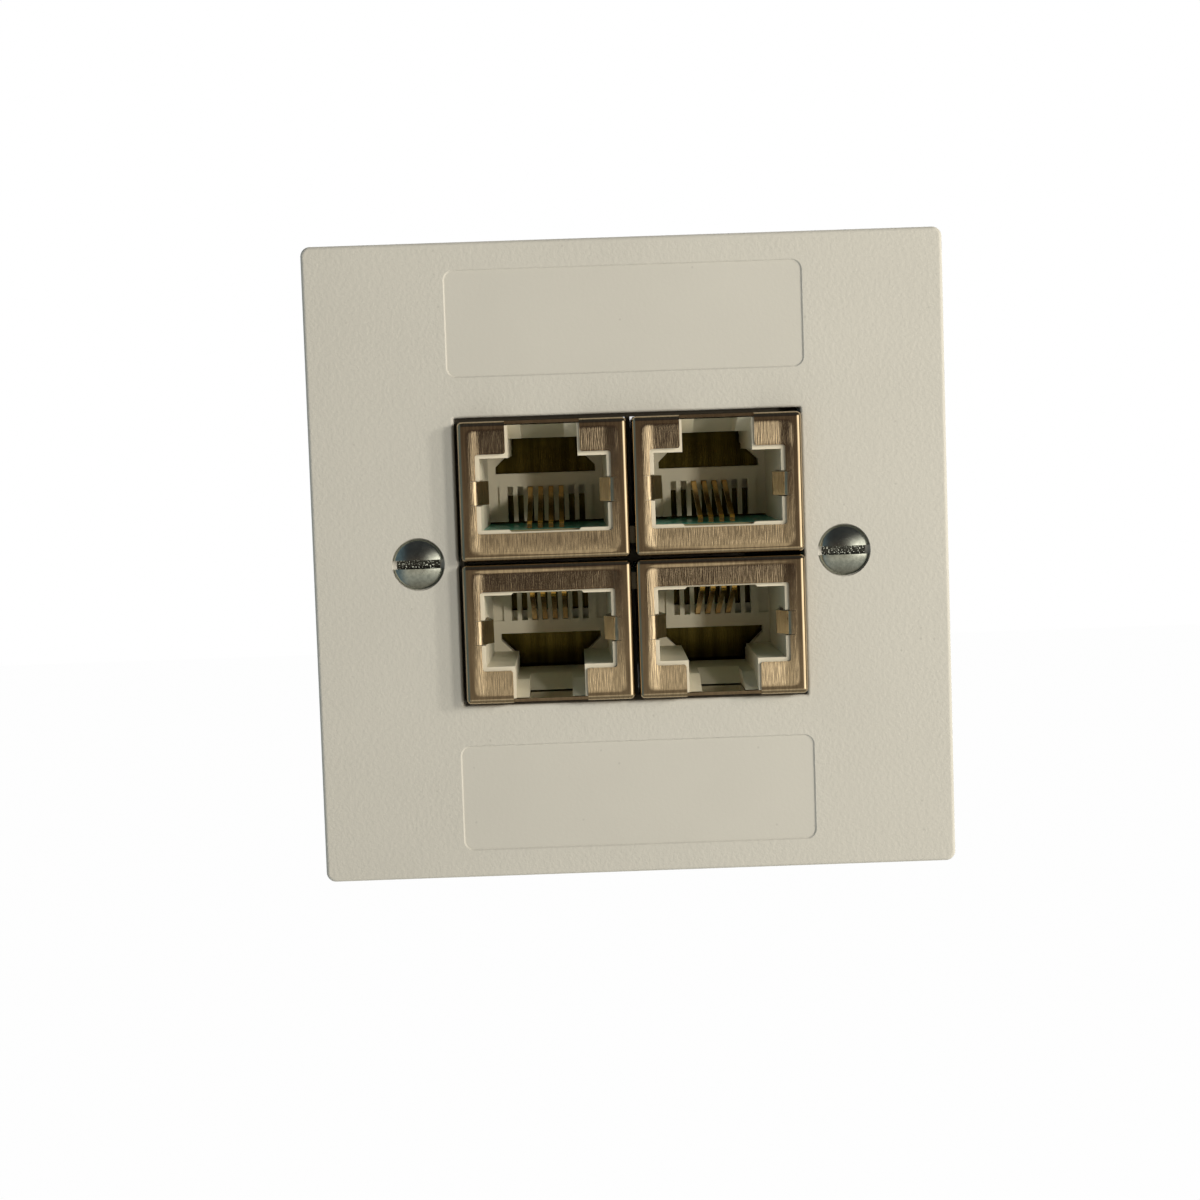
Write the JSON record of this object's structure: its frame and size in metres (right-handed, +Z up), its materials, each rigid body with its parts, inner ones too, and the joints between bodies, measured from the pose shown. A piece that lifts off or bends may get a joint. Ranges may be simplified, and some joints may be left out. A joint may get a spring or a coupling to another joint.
{
  "type": "isdn wall socket",
  "caption": "Square flush wall socket: a moulded cover held by slotted screws round a block of shielded modular jacks on circuit boards, with screw terminals behind.",
  "frame": {"origin": "centre of the cover's rear rim, in the plane of the wall", "axes": "+Z up, -Y out of the wall towards the user, +X to the right as the user sees it"},
  "size_m": [0.06, 0.0304, 0.06],
  "materials": {
    "cream_plastic": "fine moulded texture",
    "plated_steel": "bright zinc plate",
    "carrier_plastic": "moulded",
    "green_board": "solder mask",
    "nickel_sheet": "plated sheet, fine grain",
    "white_plastic": "moulded",
    "gold_wire": "gold plate",
    "terminal_plastic": "moulded",
    "tinned_brass": "tin plate",
    "zinc_steel": "zinc plate",
    "black_plastic": "moulded"
  },
  "bodies": {
    "root": {"board_link_pin_1": "gold_wire", "board_link_pin_2": "gold_wire", "board_link_pin_3": "gold_wire", "board_link_pin_4": "gold_wire", "board_link_strip": "black_plastic", "cover_plate": "cream_plastic", "cover_screws": "plated_steel", "lower_board": "green_board", "lower_left_contact_3": "gold_wire", "lower_left_contact_4": "gold_wire", "lower_left_contact_5": "gold_wire", "lower_left_contact_6": "gold_wire", "lower_left_housing": "white_plastic", "lower_left_shield": "nickel_sheet", "lower_right_contact_3": "gold_wire", "lower_right_contact_4": "gold_wire", "lower_right_contact_5": "gold_wire", "lower_right_contact_6": "gold_wire", "lower_right_housing": "white_plastic", "lower_right_shield": "nickel_sheet", "lower_terminal_body": "terminal_plastic", "lower_terminal_clamp_1": "tinned_brass", "lower_terminal_clamp_2": "tinned_brass", "lower_terminal_clamp_3": "tinned_brass", "lower_terminal_clamp_4": "tinned_brass", "lower_terminal_screws": "zinc_steel", "module_carrier": "carrier_plastic", "upper_board": "green_board", "upper_left_contact_3": "gold_wire", "upper_left_contact_4": "gold_wire", "upper_left_contact_5": "gold_wire", "upper_left_contact_6": "gold_wire", "upper_left_housing": "white_plastic", "upper_left_shield": "nickel_sheet", "upper_right_contact_3": "gold_wire", "upper_right_contact_4": "gold_wire", "upper_right_contact_5": "gold_wire", "upper_right_contact_6": "gold_wire", "upper_right_housing": "white_plastic", "upper_right_shield": "nickel_sheet", "upper_terminal_body": "terminal_plastic", "upper_terminal_clamp_1": "tinned_brass", "upper_terminal_clamp_2": "tinned_brass", "upper_terminal_clamp_3": "tinned_brass", "upper_terminal_clamp_4": "tinned_brass", "upper_terminal_screws": "zinc_steel"}
  },
  "joints": []
}
